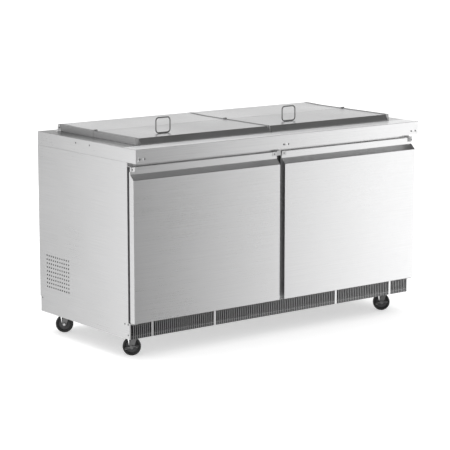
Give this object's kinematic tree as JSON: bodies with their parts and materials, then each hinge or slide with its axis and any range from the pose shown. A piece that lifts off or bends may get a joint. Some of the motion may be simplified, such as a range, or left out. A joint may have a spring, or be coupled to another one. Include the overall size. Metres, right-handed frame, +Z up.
{
  "type": "sandwich prep table",
  "caption": "Refrigerated sandwich prep table on casters: two front doors with a finger-pull bevel, topping pans under folding lids with wire loop handles, and a front work ledge.",
  "frame": {"origin": "on the floor, at the centre of the worktop's rectangular outline", "axes": "+X to the right seen from the front, +Y from the doors to the back, +Z up; the doors face -Y"},
  "size_m": [1.53, 0.734, 0.966],
  "materials": {
    "stainless": "fine brushed grain",
    "cap_steel": "satin",
    "fitting_steel": "satin, zinc plated",
    "pan_steel": "smooth",
    "white_liner": "matt",
    "gasket_rubber": "matt",
    "shelf_coating": "semi-gloss coating",
    "coil_fins": "mill",
    "black_paint": "semi-gloss",
    "black_plastic": "matt",
    "wheel_rubber": "matt"
  },
  "bodies": {
    "cabinet": {"left_side_panel": "stainless", "right_side_panel": "stainless", "back_panel": "stainless", "cabinet_liner": "white_liner", "base_frame": "stainless", "kick_grille": "stainless", "door_frame": "stainless", "worktop": "stainless", "pan_rails": "stainless", "body_screws": "fitting_steel", "shelf_clips": "white_liner", "door_hinge_brackets": "fitting_steel", "lid_hinge_brackets": "fitting_steel", "centre_door_stop": "fitting_steel", "caster_plates": "fitting_steel", "compressor": "black_paint", "condenser_coil": "coil_fins", "condenser_shroud": "fitting_steel", "drain_pan": "fitting_steel", "evaporator_coil": "coil_fins", "evaporator_cover": "white_liner", "fan_motors": "fitting_steel", "control_box": "white_liner", "cord_gland": "black_plastic"},
    "condenser_fan_rotor": {"condenser_fan": "black_plastic"},
    "evaporator_fan_rotor": {"evaporator_fan": "black_plastic"},
    "knob": {"thermostat_knob": "black_plastic"},
    "left_door": {"left_door_skin": "stainless", "left_door_liner": "white_liner", "left_door_gasket": "gasket_rubber"},
    "right_door": {"right_door_skin": "stainless", "right_door_liner": "white_liner", "right_door_gasket": "gasket_rubber"},
    "left_rear_leaf": {"left_lid_rear": "stainless", "left_lid_rear_caps": "cap_steel"},
    "left_front_leaf": {"left_lid_front": "stainless", "left_lid_front_caps": "cap_steel", "left_lid_handle": "fitting_steel"},
    "right_rear_leaf": {"right_lid_rear": "stainless", "right_lid_rear_caps": "cap_steel"},
    "right_front_leaf": {"right_lid_front": "stainless", "right_lid_front_caps": "cap_steel", "right_lid_handle": "fitting_steel"},
    "left_shelf": {"left_wire_shelf": "shelf_coating"},
    "right_shelf": {"right_wire_shelf": "shelf_coating"},
    "topping_pan_1": {"pan_1": "pan_steel"},
    "topping_pan_2": {"pan_2": "pan_steel"},
    "topping_pan_3": {"pan_3": "pan_steel"},
    "topping_pan_4": {"pan_4": "pan_steel"},
    "front_left_swivel": {"front_left_fork": "fitting_steel"},
    "front_left_roller": {"front_left_wheel": "wheel_rubber"},
    "front_left_lock": {"front_left_brake": "fitting_steel"},
    "front_right_swivel": {"front_right_fork": "fitting_steel"},
    "front_right_roller": {"front_right_wheel": "wheel_rubber"},
    "front_right_lock": {"front_right_brake": "fitting_steel"},
    "rear_left_swivel": {"rear_left_fork": "fitting_steel"},
    "rear_left_roller": {"rear_left_wheel": "wheel_rubber"},
    "rear_right_swivel": {"rear_right_fork": "fitting_steel"},
    "rear_right_roller": {"rear_right_wheel": "wheel_rubber"}
  },
  "joints": [
    {"name": "condenser_fan_spin", "type": "hinge", "parent": "cabinet", "child": "condenser_fan_rotor", "pos_m": [-0.683, 0.2275, 0.27], "axis": [1, 0, 0], "continuous": true},
    {"name": "evaporator_fan_spin", "type": "hinge", "parent": "cabinet", "child": "evaporator_fan_rotor", "pos_m": [0.09, 0.282, 0.63], "axis": [0, 1, 0], "continuous": true},
    {"name": "thermostat_turn", "type": "hinge", "parent": "cabinet", "child": "knob", "pos_m": [0.66, -0.14, 0.69], "axis": [-1, 0, 0], "range_deg": [0, 300]},
    {"name": "left_door_swing", "type": "hinge", "parent": "cabinet", "child": "left_door", "pos_m": [-0.753, -0.3245, 0.45], "axis": [0, 0, -1], "range_deg": [0, 100]},
    {"name": "right_door_swing", "type": "hinge", "parent": "cabinet", "child": "right_door", "pos_m": [0.753, -0.3245, 0.45], "axis": [0, 0, 1], "range_deg": [0, 100]},
    {"name": "left_lid_lift", "type": "hinge", "parent": "cabinet", "child": "left_rear_leaf", "pos_m": [-0.34, 0.313, 0.8875], "axis": [-1, 0, 0], "range_deg": [0, 95]},
    {"name": "left_lid_fold", "type": "hinge", "parent": "left_rear_leaf", "child": "left_front_leaf", "pos_m": [-0.34, 0.05, 0.899], "axis": [-1, 0, 0], "range_deg": [0, 150]},
    {"name": "right_lid_lift", "type": "hinge", "parent": "cabinet", "child": "right_rear_leaf", "pos_m": [0.34, 0.313, 0.8875], "axis": [-1, 0, 0], "range_deg": [0, 95]},
    {"name": "right_lid_fold", "type": "hinge", "parent": "right_rear_leaf", "child": "right_front_leaf", "pos_m": [0.34, 0.05, 0.899], "axis": [-1, 0, 0], "range_deg": [0, 150]},
    {"name": "left_shelf_lift", "type": "slide", "parent": "cabinet", "child": "left_shelf", "axis": [0, 0, 1], "range_m": [0, 0.04]},
    {"name": "right_shelf_lift", "type": "slide", "parent": "cabinet", "child": "right_shelf", "axis": [0, 0, 1], "range_m": [0, 0.04]},
    {"name": "pan_1_lift", "type": "slide", "parent": "cabinet", "child": "topping_pan_1", "axis": [0, 0, 1], "range_m": [0, 0.016]},
    {"name": "pan_2_lift", "type": "slide", "parent": "cabinet", "child": "topping_pan_2", "axis": [0, 0, 1], "range_m": [0, 0.016]},
    {"name": "pan_3_lift", "type": "slide", "parent": "cabinet", "child": "topping_pan_3", "axis": [0, 0, 1], "range_m": [0, 0.016]},
    {"name": "pan_4_lift", "type": "slide", "parent": "cabinet", "child": "topping_pan_4", "axis": [0, 0, 1], "range_m": [0, 0.016]},
    {"name": "front_left_swivel_turn", "type": "hinge", "parent": "cabinet", "child": "front_left_swivel", "pos_m": [-0.69, -0.24, 0.086], "axis": [0, 0, 1], "continuous": true},
    {"name": "front_left_wheel_roll", "type": "hinge", "parent": "front_left_swivel", "child": "front_left_roller", "pos_m": [-0.69958, -0.23278, 0.038], "axis": [0.6018, 0.7986, 0], "continuous": true},
    {"name": "front_left_lock_press", "type": "hinge", "parent": "front_left_swivel", "child": "front_left_lock", "pos_m": [-0.69958, -0.23278, 0.038], "axis": [0.6018, 0.7986, 0], "range_deg": [0, 24]},
    {"name": "front_right_swivel_turn", "type": "hinge", "parent": "cabinet", "child": "front_right_swivel", "pos_m": [0.69, -0.24, 0.086], "axis": [0, 0, 1], "continuous": true},
    {"name": "front_right_wheel_roll", "type": "hinge", "parent": "front_right_swivel", "child": "front_right_roller", "pos_m": [0.68042, -0.23278, 0.038], "axis": [0.6018, 0.7986, 0], "continuous": true},
    {"name": "front_right_lock_press", "type": "hinge", "parent": "front_right_swivel", "child": "front_right_lock", "pos_m": [0.68042, -0.23278, 0.038], "axis": [0.6018, 0.7986, 0], "range_deg": [0, 24]},
    {"name": "rear_left_swivel_turn", "type": "hinge", "parent": "cabinet", "child": "rear_left_swivel", "pos_m": [-0.69, 0.272, 0.086], "axis": [0, 0, 1], "continuous": true},
    {"name": "rear_left_wheel_roll", "type": "hinge", "parent": "rear_left_swivel", "child": "rear_left_roller", "pos_m": [-0.69958, 0.27922, 0.038], "axis": [0.6018, 0.7986, 0], "continuous": true},
    {"name": "rear_right_swivel_turn", "type": "hinge", "parent": "cabinet", "child": "rear_right_swivel", "pos_m": [0.69, 0.272, 0.086], "axis": [0, 0, 1], "continuous": true},
    {"name": "rear_right_wheel_roll", "type": "hinge", "parent": "rear_right_swivel", "child": "rear_right_roller", "pos_m": [0.68042, 0.27922, 0.038], "axis": [0.6018, 0.7986, 0], "continuous": true}
  ]
}
